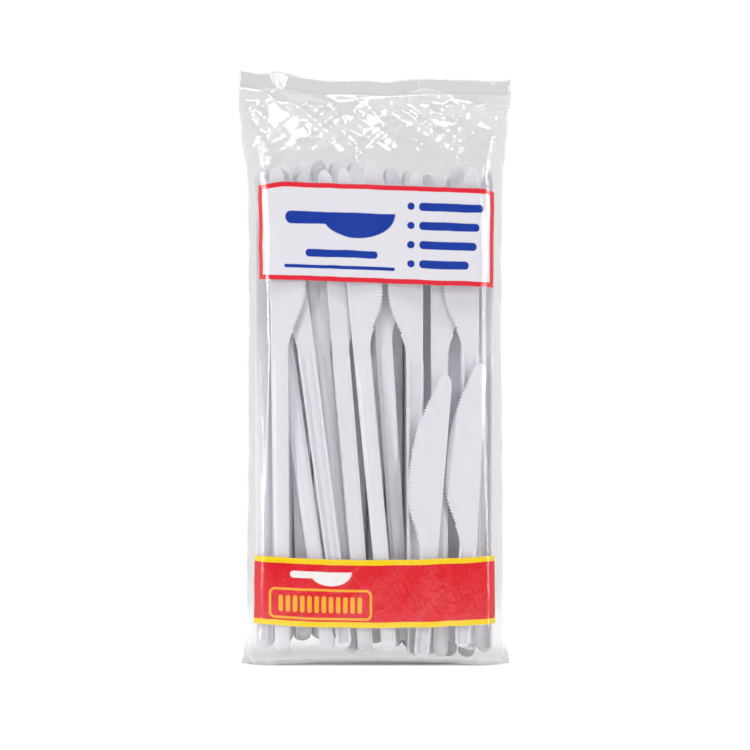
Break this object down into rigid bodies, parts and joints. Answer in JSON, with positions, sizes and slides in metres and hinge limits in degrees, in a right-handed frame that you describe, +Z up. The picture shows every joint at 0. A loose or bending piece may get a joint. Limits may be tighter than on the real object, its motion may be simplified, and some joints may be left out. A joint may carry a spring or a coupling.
{
  "type": "plastic cutlery pack",
  "caption": "Clear sealed film bag of white plastic table knives, tips up, with a plain printed panel and band, standing on its flat base.",
  "frame": {"origin": "middle of the flat base, on the surface the pack stands on", "axes": "+Z up along the knives to the sealed lip, +X across the pack to its right as seen from the front, +Y from the printed front to the back"},
  "size_m": [0.0944, 0.0264, 0.205],
  "materials": {
    "clear_film": "thin clear glossy film, crumpled at the top, printed on its front with a white panel edged red and a red band edged yellow",
    "white_polystyrene": "white moulded polystyrene, satin gloss"
  },
  "bodies": {
    "root": {"film_bag": "clear_film", "knife_03": "white_polystyrene", "knife_04": "white_polystyrene", "knife_05": "white_polystyrene", "knife_06": "white_polystyrene", "knife_07": "white_polystyrene", "knife_08": "white_polystyrene", "knife_09": "white_polystyrene", "knife_10": "white_polystyrene", "knife_11": "white_polystyrene", "knife_12": "white_polystyrene", "knife_13": "white_polystyrene", "knife_14": "white_polystyrene", "knife_15": "white_polystyrene", "knife_16": "white_polystyrene", "knife_17": "white_polystyrene", "knife_18": "white_polystyrene", "knife_19": "white_polystyrene", "knife_20": "white_polystyrene", "knife_21": "white_polystyrene", "knife_22": "white_polystyrene", "knife_23": "white_polystyrene", "knife_24": "white_polystyrene", "knife_25": "white_polystyrene", "knife_26": "white_polystyrene", "knife_27": "white_polystyrene", "knife_28": "white_polystyrene", "knife_29": "white_polystyrene", "knife_30": "white_polystyrene", "knife_31": "white_polystyrene", "knife_32": "white_polystyrene", "knife_33": "white_polystyrene", "knife_34": "white_polystyrene", "knife_35": "white_polystyrene", "knife_36": "white_polystyrene", "knife_37": "white_polystyrene", "knife_38": "white_polystyrene", "knife_39": "white_polystyrene", "knife_40": "white_polystyrene", "knife_41": "white_polystyrene", "knife_42": "white_polystyrene", "knife_43": "white_polystyrene", "knife_44": "white_polystyrene", "knife_45": "white_polystyrene", "knife_46": "white_polystyrene", "knife_47": "white_polystyrene", "knife_48": "white_polystyrene", "knife_49": "white_polystyrene", "knife_50": "white_polystyrene", "short_knife_1": "white_polystyrene", "short_knife_2": "white_polystyrene"}
  },
  "joints": []
}
